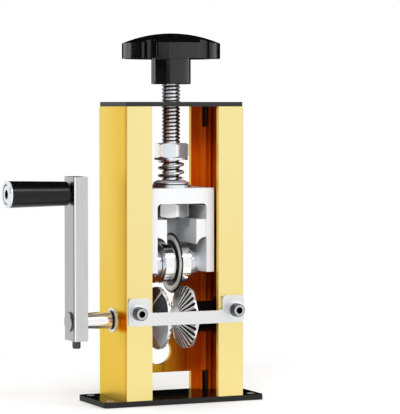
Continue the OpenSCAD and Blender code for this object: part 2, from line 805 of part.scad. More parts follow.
module star_knob() {
    rim_r = knob_d / 2;
    dome_h = knob_head_h - knob_rim_h;
    dome_r = (rim_r * rim_r + dome_h * dome_h) / (2 * dome_h);
    color([0.05, 0.05, 0.06]) difference() {
        union() {
            translate([0, 0, knob_z]) cylinder(h = fine_chamfer,
                d1 = knob_neck_d - 2 * fine_chamfer, d2 = knob_neck_d);
            translate([0, 0, knob_z + fine_chamfer])
                cylinder(h = knob_neck_len, d = knob_neck_d);
            translate([0, 0, knob_head_z]) intersection() {
                linear_extrude(knob_head_h) knob_outline();
                translate([0, 0, knob_head_h - dome_r]) sphere(r = dome_r);
            }
        }
        translate([0, 0, knob_z - overrun])
            cylinder(h = rod_in_knob + overrun + run_fit, d = rod_d + 2 * run_fit);
    }
}

module threaded_rod() {
    color([0.8, 0.8, 0.82]) translate([0, 0, rod_z]) {
        cylinder(h = edge_chamfer, d1 = rod_d - 2 * edge_chamfer, d2 = rod_d);
        translate([0, 0, edge_chamfer]) cylinder(h = rod_top - rod_z - edge_chamfer, d = rod_d);
    }
}

// A hexagon nut with chamfered corners and its flats towards the side walls
module hex_nut() {
    chamfer_h = nut_corner_r - nut_af / 2;
    difference() {
        intersection() {
            rotate(30) cylinder(h = nut_h, r = nut_corner_r, $fn = 6);
            rotate_extrude() polygon([
                [0, 0], [nut_af / 2, 0], [nut_corner_r, chamfer_h * csk_share],
                [nut_corner_r, nut_h - chamfer_h * csk_share], [nut_af / 2, nut_h], [0, nut_h]
            ]);
        }
        translate([0, 0, -overrun]) cylinder(h = nut_h + 2 * overrun, d = rod_d + 2 * run_fit);
    }
}

module upper_nut() {
    color([0.82, 0.82, 0.83]) translate([0, 0, upper_nut_z]) hex_nut();
}

module lower_nut() {
    color([0.7, 0.7, 0.72]) translate([0, 0, lower_nut_z]) hex_nut();
}

module spring_washer() {
    color([0.85, 0.85, 0.86]) translate([0, 0, spring_washer_z])
        flat_ring(spring_washer_d, rod_d + 2 * loose_fit, spring_washer_t);
}

// Pressure spring: one tube along a helix whose turns lie closer at its ends
coil_r = (spring_d - spring_wire_d) / 2;
coil_rings = round(spring_coils * spring_ring_points);
coil_rise = spring_len - spring_wire_d;
function coil_share(t) = t - spring_squeeze_share * sin(360 * t) / (2 * PI);
function coil_turn(t) = spring_turn + 360 * spring_coils * t;
function coil_point(t) = [
    coil_r * cos(coil_turn(t)),
    coil_r * sin(coil_turn(t)),
    spring_wire_d / 2 + coil_rise * coil_share(t)
];
function coil_gap(t) = norm(coil_point(t + 1 / spring_coils) - coil_point(t)) - spring_wire_d;
gap_samples = 60;
spring_least_gap = min([for (k = [0:gap_samples])
    coil_gap(k / gap_samples * (1 - 1 / spring_coils))]);
echo(spring_least_gap = spring_least_gap);

module spring_tube() {
    points = [for (k = [0:coil_rings], s = [0:wire_sides - 1])
        let (t = k / coil_rings, turn = coil_turn(t), c = coil_point(t),
             w = 360 * s / wire_sides, r = spring_wire_d / 2)
        [c[0] + r * cos(w) * cos(turn), c[1] + r * cos(w) * sin(turn), c[2] + r * sin(w)]];
    skin = [for (k = [0:coil_rings - 1], s = [0:wire_sides - 1])
        let (a = k * wire_sides + s, b = k * wire_sides + (s + 1) % wire_sides,
             c = a + wire_sides, d = b + wire_sides)
        each [[a, b, d], [a, d, c]]];
    start_cap = [for (s = [wire_sides - 1:-1:0]) s];
    end_cap = [for (s = [0:wire_sides - 1]) coil_rings * wire_sides + s];
    polyhedron(points, concat(skin, [start_cap, end_cap]));
}

module pressure_spring() {
    color([0.85, 0.85, 0.87]) translate([0, 0, spring_z]) spring_tube();
}

module spring_seat() {
    bore_r = rod_d / 2 + loose_fit;
    color([0.85, 0.85, 0.86]) translate([0, 0, seat_z]) rotate_extrude() polygon([
        [bore_r, 0], [seat_d / 2 - edge_chamfer, 0], [seat_d / 2, edge_chamfer],
        [seat_d / 2, seat_t / 2], [spring_d / 2 + edge_chamfer, seat_t],
        [bore_r, seat_t]
    ]);
}

module seat_washer() {
    color([0.75, 0.75, 0.77]) translate([0, 0, block_top])
        flat_ring(seat_washer_d, rod_d + 2 * loose_fit, seat_washer_t);
}

// Slider block, a downward fork that carries the blade axle

// Front view of the cheek on the right side, from the slot to the leg
module cheek_profile() {
    top = block_h - block_roof_t - nut_pocket_h;
    rise = cheek_foot_outer - cheek_foot;
    width = pocket_half - cheek_half;
    difference() {
        rect_between(cheek_half, cheek_foot, pocket_half + overrun, top);
        // the foot curves up towards the leg
        translate([pocket_half, cheek_foot - (width - rise)]) circle(r = width);
    }
}

module block_pocket_profile() {
    top = block_h - block_roof_t;
    difference() {
        union() {
            rect_between(-pocket_half, -overrun, pocket_half, top - pocket_r);
            rect_between(-pocket_half + pocket_r, 0, pocket_half - pocket_r, top);
            for (side = [-1, 1]) translate([side * (pocket_half - pocket_r), top - pocket_r])
                circle(r = pocket_r);
        }
        mirror_copy([1, 0]) cheek_profile();
    }
}

module slider_block() {
    color([0.86, 0.86, 0.87]) difference() {
        translate([-block_half, block_front, block_z])
            cube([2 * block_half, block_back - block_front, block_h]);
        translate([0, pocket_back, block_z]) rotate([90, 0, 0])
            linear_extrude(pocket_back - block_front + overrun) block_pocket_profile();
        // setback of the cheeks
        translate([-pocket_half, block_front - overrun, block_z])
            cube([2 * pocket_half, cheek_setback + overrun, block_h - block_roof_t - pocket_r]);
        // relief in which the lower nut turns while the block floats up
        translate([0, 0, roof_z - nut_h - float_travel - side_play])
            cylinder(h = nut_h + float_travel, r = nut_corner_r + nut_turn_room);
        // slot for the rear of the blade
        translate([0, 0, axle_z]) rod_x(-blade_t / 2 - blade_slot_side, blade_t / 2 + blade_slot_side,
                                        2 * (blade_r + blade_slot_room));
        translate([-blade_t / 2 - blade_slot_side, 0, block_z - overrun])
            cube([blade_t + 2 * blade_slot_side, blade_r + blade_slot_room, axle_up + overrun]);
        translate([0, 0, axle_z]) rod_x(-frame_w, frame_w, axle_d + 2 * run_fit);
        translate([0, 0, block_z]) cylinder(h = block_h + overrun, d = rod_d + 2 * loose_fit);
        at_strip_screws() rod_x(block_half - strip_screw_len, frame_w, strip_screw_d + 2 * run_fit);
    }
}

// Places of the strip screws on both sides of the block
module at_strip_screws() {
    for (side = [0, 1], z = [strip_screw_low, strip_screw_high])
        mirror([side, 0, 0]) translate([0, 0, block_z + z]) children();
}

module strip_right_side() {
    y0 = block_front + strip_setback;
    y1 = inner_y - slide_gap;
    difference() {
        translate([block_half, y0, block_z]) cube([strip_t, y1 - y0, block_h]);
        at_strip_screws() {
            rod_x(block_half - overrun, frame_w, strip_screw_d + 2 * run_fit);
            rod_x(block_half + strip_t - strip_csk_h, block_half + strip_t,
                  strip_screw_d + 2 * run_fit, strip_screw_head_d + 2 * run_fit);
        }
    }
}

module left_slide_strip() {
    color([0.13, 0.13, 0.14]) mirror([1, 0, 0]) strip_right_side();
}

module right_slide_strip() {
    color([0.13, 0.13, 0.14]) strip_right_side();
}

module strip_screws() {
    outer = block_half + strip_t;
    color([0.4, 0.4, 0.42]) at_strip_screws() {
        rod_x(block_half - strip_screw_len + side_play, outer - strip_csk_h, strip_screw_d);
        rod_x(outer - strip_csk_h, outer, strip_screw_d, strip_screw_head_d);
    }
}

// Blade wheel on its axle

module blade_axle() {
    half = block_half - run_fit;
    color([0.7, 0.7, 0.72]) translate([0, 0, axle_z]) rod_x(-half, half, axle_d);
}

module axle_spacers() {
    x0 = ring_reach + side_play;
    x1 = x0 + spacer_step;
    x2 = pocket_half - run_fit;
    color([0.72, 0.72, 0.74]) translate([0, 0, axle_z]) mirror_copy([1, 0, 0]) difference() {
        union() {
            rod_x(x0, x1, axle_boss_d);
            rod_x(x1, x2, axle_spacer_d);
        }
        rod_x(0, frame_w, axle_d + 2 * run_fit);
    }
}

module blade_disc() {
    r = blade_r;
    half = blade_t / 2;
    color([0.8, 0.8, 0.82]) translate([0, 0, axle_z]) rotate([0, 90, 0]) rotate_extrude()
        polygon([
            [axle_d / 2 + run_fit, -half], [r - blade_bevel, -half], [r, 0],
            [r - blade_bevel, half], [axle_d / 2 + run_fit, half]
        ]);
}

// A depth ring from the blade face to its outer face, with a stepped inner shoulder
module depth_ring_right_side() {
    x0 = blade_t / 2;
    x1 = ring_reach;
    r = ring_r;
    shoulder = edge_chamfer;
    color([0.82, 0.82, 0.84]) translate([0, 0, axle_z]) rotate([0, 90, 0]) rotate_extrude()
        polygon([
            [axle_d / 2 + run_fit, x0], [hub_ring_d / 2, x0], [hub_ring_d / 2, x0 + shoulder],
            [r - edge_chamfer, x0 + shoulder], [r, x0 + shoulder + edge_chamfer],
            [r, x1 - edge_chamfer], [r - edge_chamfer, x1], [axle_d / 2 + run_fit, x1]
        ]);
}

module left_depth_ring() {
    mirror([1, 0, 0]) depth_ring_right_side();
}

module right_depth_ring() {
    depth_ring_right_side();
}

base_plate();
frame_channel();
top_plate();
base_screws();
top_screws();
guide_bar();
guide_flat_washers();
guide_lock_washers();
guide_screws();
left_bush();
right_bush();
left_spacer();
right_spacer();
drive_shaft();
feed_roller();
roller_pin();
crank_arm();
crank_set_screw();
handle_bolt();
shaft_circlip();
handle_grip();
grip_end_ring();
star_knob();
threaded_rod();
upper_nut();
lower_nut();
spring_washer();
pressure_spring();
slider_block();
left_slide_strip();
right_slide_strip();
strip_screws();
spring_seat();
seat_washer();
blade_axle();
axle_spacers();
blade_disc();
left_depth_ring();
right_depth_ring();
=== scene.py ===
"""Hand crank wire stripper: finishes, a cut thread, a round wire spring, softened edges and
the studio.

Everything is in metres, in the row frame: X along the crank shaft, Y from the open front
to the rear wall, Z up along the pressure screw.
"""
import json
import math
import bmesh
import bpy
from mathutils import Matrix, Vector

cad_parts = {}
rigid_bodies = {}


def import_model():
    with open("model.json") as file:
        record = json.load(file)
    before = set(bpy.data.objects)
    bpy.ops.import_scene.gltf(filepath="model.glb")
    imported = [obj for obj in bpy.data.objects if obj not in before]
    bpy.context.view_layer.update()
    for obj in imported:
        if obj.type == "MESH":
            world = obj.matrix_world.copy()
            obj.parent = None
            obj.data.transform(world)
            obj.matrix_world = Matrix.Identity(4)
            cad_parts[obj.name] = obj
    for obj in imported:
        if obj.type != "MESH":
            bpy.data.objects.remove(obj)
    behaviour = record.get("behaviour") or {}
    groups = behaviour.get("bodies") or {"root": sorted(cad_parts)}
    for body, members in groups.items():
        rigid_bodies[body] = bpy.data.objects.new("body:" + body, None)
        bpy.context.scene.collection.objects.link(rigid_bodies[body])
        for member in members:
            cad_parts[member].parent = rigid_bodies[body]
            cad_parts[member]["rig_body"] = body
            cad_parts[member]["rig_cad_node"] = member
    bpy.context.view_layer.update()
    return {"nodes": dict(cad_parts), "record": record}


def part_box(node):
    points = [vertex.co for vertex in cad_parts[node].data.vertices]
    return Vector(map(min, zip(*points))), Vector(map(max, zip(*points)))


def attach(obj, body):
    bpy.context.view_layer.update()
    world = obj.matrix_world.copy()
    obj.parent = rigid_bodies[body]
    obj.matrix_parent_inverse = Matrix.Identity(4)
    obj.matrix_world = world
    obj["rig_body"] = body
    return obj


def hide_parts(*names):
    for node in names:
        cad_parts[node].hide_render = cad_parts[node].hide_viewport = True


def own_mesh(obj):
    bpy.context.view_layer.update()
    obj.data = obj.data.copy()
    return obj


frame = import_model()
MM = 0.001
MERGE_GAP = 0.002 * MM
SLOT_OF = {part["node"]: part["material_slot"] for part in frame["record"]["subparts"]}
BODY_OF = {
    node: body
    for body, members in frame["record"]["behaviour"]["bodies"].items()
    for node in members
}


# Places and sizes, from the frame

def lowest(node):
    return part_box(node)[0]


def highest(node):
    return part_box(node)[1]


def centre(node):
    return (lowest(node) + highest(node)) / 2


# the frame's outer and inner faces, the edges of its front slot, and its screw ports with
# their slits
WALL_X, WALL_Y = highest("frame_channel").xy
WALL_THICKNESS = 2.8 * MM
INNER_X, INNER_Y = WALL_X - WALL_THICKNESS, WALL_Y - WALL_THICKNESS
SLOT_SHARE, PORT_INSET = 0.566, 7.4 * MM
SLOT_X, PORT_X = WALL_X * SLOT_SHARE, WALL_X - PORT_INSET
PORT_SLIT_X = PORT_X - 2 * MM
BASE_SCREW_TIP, TOP_SCREW_TIP = highest("base_screws").z, lowest("top_screws").z
# the axes of the bench holes and of the guide bar's screws
BENCH_INSET_X, BENCH_INSET_Y = 5 * MM, 6 * MM
BENCH_HOLE_X = highest("base_plate").x - BENCH_INSET_X
BENCH_HOLE_Y = highest("base_plate").y - BENCH_INSET_Y
GUIDE_HEAD_RADIUS = 3.5 * MM
GUIDE_SCREW_X = highest("guide_screws").x - GUIDE_HEAD_RADIUS
GUIDE_SCREW_Z = centre("guide_screws").z
# the drive's and the blade's axes, and the faces that their finishes follow
SHAFT_Z, HANDLE_Z = centre("drive_shaft").z, centre("handle_bolt").z
ARM_LEFT, ARM_FRONT = lowest("crank_arm").xy
BUSH_LEFT = lowest("left_bush").x
BLOCK_FOOT, AXLE_RISE = lowest("slider_block").z, 4.5 * MM
AXLE_Z = BLOCK_FOOT + AXLE_RISE


# Operators on one piece

def only(piece):
    """Selects this piece alone, so that an operator acts on nothing else."""
    bpy.ops.object.select_all(action="DESELECT")
    piece.select_set(True)
    bpy.context.view_layer.objects.active = piece


def edit(piece, mode="VERT"):
    only(piece)
    bpy.ops.object.mode_set(mode="EDIT")
    bpy.ops.mesh.select_mode(type=mode)


def done():
    bpy.ops.object.mode_set(mode="OBJECT")


def pick(piece, kind, test):
    """Selects the vertices, edges or faces of the open mesh that pass a test."""
    mesh = bmesh.from_edit_mesh(piece.data)
    for element in mesh.verts[:] + mesh.edges[:] + mesh.faces[:]:
        element.select_set(False)
    for element in getattr(mesh, kind):
        if test(element):
            element.select_set(True)
    mesh.select_flush_mode()
    bmesh.update_edit_mesh(piece.data)


def settle(piece):
    """Puts the object itself at the origin, with its place in its mesh."""
    only(piece)
    bpy.ops.object.transform_apply(location=True, rotation=True, scale=True)


def apply_modifier(piece, modifier):
    only(piece)
    bpy.ops.object.modifier_apply(modifier=modifier.name)


def keep_inside(piece, envelope):
    """Cuts away what lies outside an envelope, which is then deleted."""
    trim = piece.modifiers.new("envelope", "BOOLEAN")
    trim.operation = "INTERSECT"
    trim.solver = "EXACT"
    trim.object = envelope
    apply_modifier(piece, trim)
    bpy.data.objects.remove(envelope)


def stand_for(piece, node):
    """The piece takes the place and the body of a CAD node, which it hides."""
    piece.name = node + "_piece"
    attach(piece, BODY_OF[node])
    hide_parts(node)
    return piece


# Camera: the photograph's place, direction and field of view, for a 400 x 414 frame

FOCAL_PIXELS, LONG_SIDE, SENSOR = 2254.3, 414, 36
CAMERA_PLACE = (-0.49861, -1.14516, 0.16282)
CAMERA_DIP, CAMERA_BEARING = 2.546, -24.264
NEAREST, FARTHEST = 0.05, 50

camera_data = bpy.data.cameras.new("camera")
camera_data.sensor_width = SENSOR
camera_data.lens = FOCAL_PIXELS / LONG_SIDE * SENSOR
camera_data.clip_start, camera_data.clip_end = NEAREST, FARTHEST
camera = bpy.data.objects.new("camera", camera_data)
camera.location = CAMERA_PLACE
camera.rotation_euler = (math.radians(90 - CAMERA_DIP), 0, math.radians(CAMERA_BEARING))
bpy.context.scene.collection.objects.link(camera)
bpy.context.scene.camera = camera


# Shader maths

# places of the colour sockets on Blender's Mix node
MIX_SHARE, MIX_FIRST, MIX_SECOND, MIXED_COLOUR = 0, 6, 7, 2


def add_node(tree, kind, settings=None, inputs=None):
    """Adds a node: its settings first, then the values or links of its sockets."""
    node = tree.nodes.new(kind)
    for key, value in (settings or {}).items():
        setattr(node, key, value)
    for place, value in (inputs or {}).items():
        if isinstance(value, Number):
            value = value.socket
        if isinstance(value, bpy.types.NodeSocket):
            tree.links.new(value, node.inputs[place])
        else:
            node.inputs[place].default_value = value
    return node


class Number:
    """A number that changes over a surface. Sums and products of it add Math nodes."""

    def __init__(self, tree, socket):
        self.tree, self.socket = tree, socket

    def math(self, operation, *values):
        """Adds a Math node of these values to this number's node tree."""
        node = add_node(self.tree, "ShaderNodeMath", {"operation": operation},
                        dict(enumerate(values)))
        return Number(self.tree, node.outputs[0])

    def __add__(self, other):
        return self.math("ADD", self, other)

    def __radd__(self, other):
        return self.math("ADD", other, self)

    def __sub__(self, other):
        return self.math("SUBTRACT", self, other)

    def __rsub__(self, other):
        return self.math("SUBTRACT", other, self)

    def __mul__(self, other):
        return self.math("MULTIPLY", self, other)

    def __rmul__(self, other):
        return self.math("MULTIPLY", other, self)

    def __pow__(self, other):
        return self.math("POWER", self, other)

    def __abs__(self):
        return self.math("ABSOLUTE", self)

    def sign(self):
        return self.math("SIGN", self)

    def cosine(self):
        return self.math("COSINE", self)

    def bearing(self, along):
        """The angle in radians of the point that lies this far up and so far along."""
        return self.math("ARCTAN2", self, along)

    def most(self, other):
        return self.math("MAXIMUM", self, other)

    def above(self, low, high):
        """0 below low, 1 above high and a smooth step between them."""
        node = add_node(self.tree, "ShaderNodeMapRange", {"interpolation_type": "SMOOTHSTEP"},
                        {"Value": self, "From Min": low, "From Max": high})
        return Number(self.tree, node.outputs["Result"])

    def below(self, low, high):
        """1 below low, 0 above high and a smooth step between them."""
        return 1 - self.above(low, high)


def distance(across, along):
    """How far a point lies from an axis, from its two offsets square to that axis."""
    return (across * across + along * along) ** 0.5


class Finish:
    """One node material: its shader, its coordinates and short ways to add patterns."""

    def __init__(self, name, uniform):
        self.material = bpy.data.materials.new(name)
        self.material.use_nodes = True
        self.tree = self.material.node_tree
        self.shader = self.tree.nodes["Principled BSDF"]
        for socket, value in uniform.items():
            self.shader.inputs[socket].default_value = value
        place = self.node("ShaderNodeTexCoord")
        self.place = place.outputs["Object"]
        self.x, self.y, self.z = self.split(self.place)
        self.nx, self.ny, self.nz = self.split(place.outputs["Normal"])

    def node(self, kind, settings=None, inputs=None):
        return add_node(self.tree, kind, settings, inputs)

    def split(self, vector):
        parts = self.node("ShaderNodeSeparateXYZ", inputs={"Vector": vector})
        return [Number(self.tree, part) for part in parts.outputs]

    def noise(self, scale, detail=3, stretch=(1, 1, 1)):
        """Cloudy grain, 0 to 1. Scale is the count of waves per metre along each axis."""
        waves = tuple(scale * share for share in stretch)
        spread = self.node("ShaderNodeMapping", inputs={"Vector": self.place, "Scale": waves})
        grain = self.node("ShaderNodeTexNoise", inputs={
            "Vector": spread.outputs[0], "Scale": 1.0, "Detail": detail})
        return Number(self.tree, grain.outputs["Fac"])

    def turned_rings(self, reach, scale):
        """Lathe marks, 0 to 1, that change only with the distance from an axis."""
        grain = self.node("ShaderNodeTexNoise", {"noise_dimensions": "1D"},
                          {"W": reach * scale, "Scale": 1.0})
        return Number(self.tree, grain.outputs["Fac"])

    def mix(self, share, first, second):
        """A colour between two, each of them a plain colour or a node's output."""
        ends = [colour if isinstance(colour, bpy.types.NodeSocket) else (*colour, 1)
                for colour in (first, second)]
        node = self.node("ShaderNodeMix", {"data_type": "RGBA"},
                         {MIX_SHARE: share, MIX_FIRST: ends[0], MIX_SECOND: ends[1]})
        return node.outputs[MIXED_COLOUR]

    def paint(self, socket, value):
        """Links a number or a colour to a socket of the shader."""
        source = value.socket if isinstance(value, Number) else value
        self.tree.links.new(source, self.shader.inputs[socket])

    def bump(self, height, depth, strength):
        """Raises the surface by a pattern of 0 to 1 times a depth in metres."""
        node = self.node("ShaderNodeBump", inputs={
            "Height": height, "Distance": depth, "Strength": strength})
        self.paint("Normal", node.outputs[0])


# Plain finishes

def grey(value):
    return (value, value, value)


def metal_finish(name, colour, roughness, metallic=1.0, grain=1200):
    """Plain metal with fine grain in its colour, its roughness and its surface. Its tone is
    kept for the finishes that start from it."""
    look = Finish(name, {"Metallic": metallic})
    fine, broad = look.noise(grain, 4), look.noise(60, 2)
    dull = tuple(channel * 0.88 for channel in colour)
    look.tone = look.mix(fine * 0.6 + broad * 0.4, dull, colour)
    look.paint("Base Color", look.tone)
    look.paint("Roughness", roughness + (fine - 0.5) * 0.06 + (broad - 0.5) * 0.03)
    look.bump(fine, 0.003 * MM, 0.5)
    return look


def plastic_finish(name, colour, roughness, specular=0.5, depth=0.008 * MM, grain=900):
    """Moulded plastic or paint with a fine even skin."""
    look = Finish(name, {"Metallic": 0.0, "Specular IOR Level": specular})
    fine, broad = look.noise(grain, 2), look.noise(70, 2)
    pale = tuple(channel * 1.4 + 0.001 for channel in colour)
    look.paint("Base Color", look.mix(broad * 0.5 + fine * 0.2, colour, pale))
    look.paint("Roughness", roughness + (fine - 0.5) * 0.06 + (broad - 0.5) * 0.05)
    look.bump(fine, depth, 0.4)
    return look


# Gold frame

# lips: pale gold, and a warmer gold mixed in as painted shade towards the foot and as random
# clouds
PALE_GOLD, WARM_GOLD = (0.93, 0.8, 0.37), (0.9, 0.74, 0.29)
# side walls: painted a richer gold than the lips as shade, darkest towards the front and the foot
SIDE_GOLD, SIDE_SHADE_GOLD = (0.93, 0.74, 0.24), (0.88, 0.62, 0.13)
# an orange painted as a reflection beside the shaft hole and as shade along the front corner; a
# bright orange painted as a highlight on the lips' inner edges
REFLECTED_AND_SHADED_ORANGE, EDGE_HIGHLIGHT_GOLD = (0.62, 0.125, 0.0), (1.0, 0.62, 0.12)
# inside: deep orange painted as shade, a paler orange painted as light on the lit rear web, and
# brown for random lines and painted shade in the rear corners
WEB_ORANGE, HOLLOW_SHADE_ORANGE, ROOT_BROWN = (1.0, 0.6, 0.03), (0.95, 0.165, 0.003), (0.3, 0.03, 0.0)
# a painted black shadow in the mouths of the rear screw ports
PORT_SHADOW = grey(0.002)
GOLD_GLINT = (0.8, 0.62, 0.3, 1)


def gold_skin(look, side, clouds):
    """Outside of the frame: pale lips painted darker towards the foot as shade, side walls painted
    a richer gold than the lips as shade that darkens to the front and the foot, a painted orange
    reflection beside the shaft hole and painted shade along the front corner."""
    # the lips are painted darker towards the foot as shade, and clouded at random
    lips = look.mix(look.z.below(30 * MM, 150 * MM) * 0.7 + clouds * 0.2, PALE_GOLD, WARM_GOLD)
    # the side walls are painted darker than the lips as shade, darkening to the front and the foot
    front_foot_shade = look.y.below(2 * MM - WALL_Y, WALL_Y - 2 * MM).most(look.z.below(0.0, 140 * MM))
    wall = look.mix(front_foot_shade, SIDE_GOLD, SIDE_SHADE_GOLD)
    left = look.x.below(MM - WALL_X, 5 * MM - WALL_X)
    # a painted orange reflection beside the shaft hole on the left wall, and painted shade along
    # the front corner
    hole_reflection = look.y.below(-11 * MM, -4 * MM) * abs(look.z - SHAFT_Z).below(3.5 * MM, 6.8 * MM)
    corner = look.y.below(0.8 * MM - WALL_Y, 4 * MM - WALL_Y)
    wall = look.mix((hole_reflection * left).most(corner * 0.4), wall, REFLECTED_AND_SHADED_ORANGE)
    return look.mix(side, lips, wall)


def gold_hollow(look, lit_web):
    """Inside of the frame: deep orange painted as shade, with brown lines along Z and painted
    shade in the rear corners, paler as painted light on the part of the rear web that catches the
    light, and a painted black shadow in the mouths of the rear screw ports."""
    bands = look.noise(330, 2, (1, 1, 0.012))
    # painted shade in the rear corners, mixed with the random brown lines
    rear_corner_shade = abs(look.x).above(28.5 * MM, 30.5 * MM) * look.y.above(0.0, 15 * MM)
    streaks_and_shade = (bands.above(0.52, 0.75) * 0.5).most(rear_corner_shade * 0.35)
    # the hollow is painted deep orange as shade, and paler as painted light where the rear web is
    # lit
    hollow = look.mix(streaks_and_shade, look.mix(lit_web, HOLLOW_SHADE_ORANGE, WEB_ORANGE), ROOT_BROWN)
    # a painted black shadow in the mouths of the rear screw ports, as far as their screws reach
    slit = abs(abs(look.x) - PORT_SLIT_X).below(0.7 * MM, 0.9 * MM)
    rear = look.y.above(8 * MM, 9 * MM)
    low_mouth = look.z.below(BASE_SCREW_TIP - 0.5 * MM, BASE_SCREW_TIP + 0.5 * MM)
    high_mouth = look.z.above(TOP_SCREW_TIP - MM, TOP_SCREW_TIP)
    return look.mix(slit * rear * high_mouth.most(low_mouth), hollow, PORT_SHADOW)


def gold_finish():
    """Gold anodised extrusion with lines drawn along Z, painted shade inside, and a painted
    highlight along the lips' inner edges.
    """
    look = Finish("gold_anodised", {"Specular IOR Level": 0.2, "Specular Tint": GOLD_GLINT})
    lines = look.noise(1500, 3, (1, 1, 0.01))
    clouds = look.noise(25, 2, (1, 1, 0.35))
    side = abs(look.nx).above(0.5, 0.9)
    inside = abs(look.x).below(INNER_X + 0.05 * MM, INNER_X + 0.2 * MM)
    inside = inside * abs(look.y).below(INNER_Y + 0.05 * MM, INNER_Y + 0.2 * MM)
    # painted highlight: the lips' inner edges get a bright orange colour
    edge = abs(look.x).below(SLOT_X + 0.09 * MM, SLOT_X + 0.39 * MM) * side
    shade = inside * (1 - edge)
    web = look.y.above(INNER_Y - 0.05 * MM, INNER_Y)
    unlit = look.x.above(-6 * MM, 20 * MM).most(look.z.above(50 * MM, 70 * MM)) * web
    lit_web = web * (1 - unlit)
    tone = look.mix(shade, gold_skin(look, side, clouds), gold_hollow(look, lit_web))
    look.paint("Base Color", look.mix(edge, tone, EDGE_HIGHLIGHT_GOLD))
    look.paint("Metallic", 1 - shade * (0.9 - lit_web * 0.6) - edge * 0.5)
    look.paint("Roughness", 0.3 + (lines - 0.5) * 0.1 + clouds * 0.05 + shade * 0.15)
    look.bump(lines, 0.005 * MM, 0.5)
    return look


# Finishes of single pieces

# bright zinc, and the dark tones painted as shade on the thread's sides and on one face of the
# nuts
BRIGHT_ZINC, THREAD_SIDE_SHADE, NUT_FACE_SHADE = (0.95, 0.97, 1), (0.02, 0.03, 0.035), (0.05, 0.08, 0.09)
# direction in which the two sides of the thread with painted shade lie, along X and along Y
SHADED_SIDE_X, SHADED_SIDE_Y = 0.92, -0.4
ROLLER_TEETH, HUB_SIDES = 30, 6
# the ends' two tones: dark, painted as shade above, and bluish, painted as light below
HUB_SHADE = ((0.03, 0.04, 0.045), (0.08, 0.1, 0.11))
HUB_LIGHT = ((0.5, 0.66, 0.78), (0.62, 0.8, 0.92))


def arm_finish():
    """Drawn flat bar with lines along its length: a bright front with a painted highlight at its
    left edge, and a left face painted darker as shade, with a painted dark line of shade along its
    front edge."""
    look = Finish("drawn_bar", {"Metallic": 1.0})
    lines = look.noise(1600, 3, (1, 1, 0.02))
    left = look.nx.below(-0.9, -0.6)
    # painted highlight along the left edge of the front
    edge_highlight = look.x.below(ARM_LEFT + 0.6 * MM, ARM_LEFT + 1.1 * MM)
    front = look.mix(edge_highlight, look.mix(lines, grey(0.52), grey(0.68)), grey(0.95))
    # the left face is painted darker as shade, with a painted dark line of shade along its front
    # edge
    dark = look.y.below(ARM_FRONT + 0.9 * MM, ARM_FRONT + 1.9 * MM)
    shaded = look.mix(dark, look.mix(lines, grey(0.38), grey(0.48)), grey(0.07))
    look.paint("Base Color", look.mix(left, front, shaded))
    look.paint("Roughness", 0.32 + (lines - 0.5) * 0.12)
    look.bump(lines, 0.006 * MM, 0.5)
    return look


def thread_finish():
    """Zinc plated screw thread with painted shade at the roots and along two opposite sides."""
    look = Finish("thread_zinc", {"Metallic": 0.7})
    # the roots are painted near black as shade, the crests keep the metal
    crest = distance(look.x, look.y).above(4.3 * MM, 4.8 * MM)
    grain = look.noise(1200, 3)
    # painted shade along two opposite sides given by that direction, patchy with grain
    aside = abs(look.x * SHADED_SIDE_X + look.y * SHADED_SIDE_Y)
    painted_shade = aside.above(2.2 * MM, 3.2 * MM) * grain.above(0.2, 0.45)
    metal = look.mix(painted_shade * 0.85, BRIGHT_ZINC, THREAD_SIDE_SHADE)
    look.paint("Base Color", look.mix(crest, grey(0.015), metal))
    look.paint("Roughness", 0.2 + grain * 0.1 - crest * 0.06)
    look.bump(grain, 0.004 * MM, 0.4)
    return look


def nut_finish(name, colour):
    """Plated hexagon nut: painted highlights on its corners and its left face, painted shade on
    its chamfers and on one front face.
    """
    look = metal_finish(name, colour, 0.18, metallic=0.45)
    # painted highlights on the corners and on the left face, painted shade on the chamfers
    corner = distance(look.x, look.y).above(9.2 * MM, 9.4 * MM)
    chamfer = abs(look.nz).above(0.2, 0.35) * abs(look.nz).below(0.8, 0.95)
    bright = look.nx.below(-0.9, -0.7)
    # painted shade on the face that looks right and to the front
    painted_shade = look.nx.above(0.4, 0.55) * look.ny.below(-0.5, -0.3)
    tone = look.mix(corner, look.mix(painted_shade * 0.7, look.tone, NUT_FACE_SHADE), grey(1))
    look.paint("Base Color", look.mix(chamfer, look.mix(bright, tone, grey(1)), grey(0.04)))
    look.paint("Metallic", 0.45 + bright * 0.5)
    return look


def roller_finish():
    """Hardened steel: bright tips on the toothed cones with the grooves between the teeth painted
    dark as shade, and six-sided ends with painted highlights on their corners, painted shade above
    and painted light below."""
    look = metal_finish("roller_steel", grey(0.97), 0.12)
    turn = (look.z - SHAFT_Z).bearing(look.y)
    # painted highlights on the six corners of the ends
    corner = (turn * HUB_SIDES).cosine().above(0.93, 0.985)
    outward = look.nx * look.x.sign()
    ends = outward.above(0.3, 0.6)
    toothed = outward.below(-0.45, -0.2)
    # the grooves between the teeth are painted near black as shade
    valley_shade = (turn * ROLLER_TEETH).cosine().below(-0.4, 0.25) * toothed
    grain = look.noise(500, 3)
    # the ends are painted dark as shade above and bright as light below
    lit_below = look.nz.below(-0.1, 0.0)
    end_tone = look.mix(lit_below, look.mix(grain, *HUB_SHADE), look.mix(grain, *HUB_LIGHT))
    end_tone = look.mix(corner * 0.9, end_tone, grey(1))
    look.paint("Base Color", look.mix(valley_shade, look.mix(ends, look.tone, end_tone), grey(0.006)))
    look.paint("Metallic", 0.5 - ends * 0.5)
    look.paint("Roughness", 0.12 + ends * 0.16 + valley_shade * 0.1 + (grain - 0.5) * 0.05)
    return look


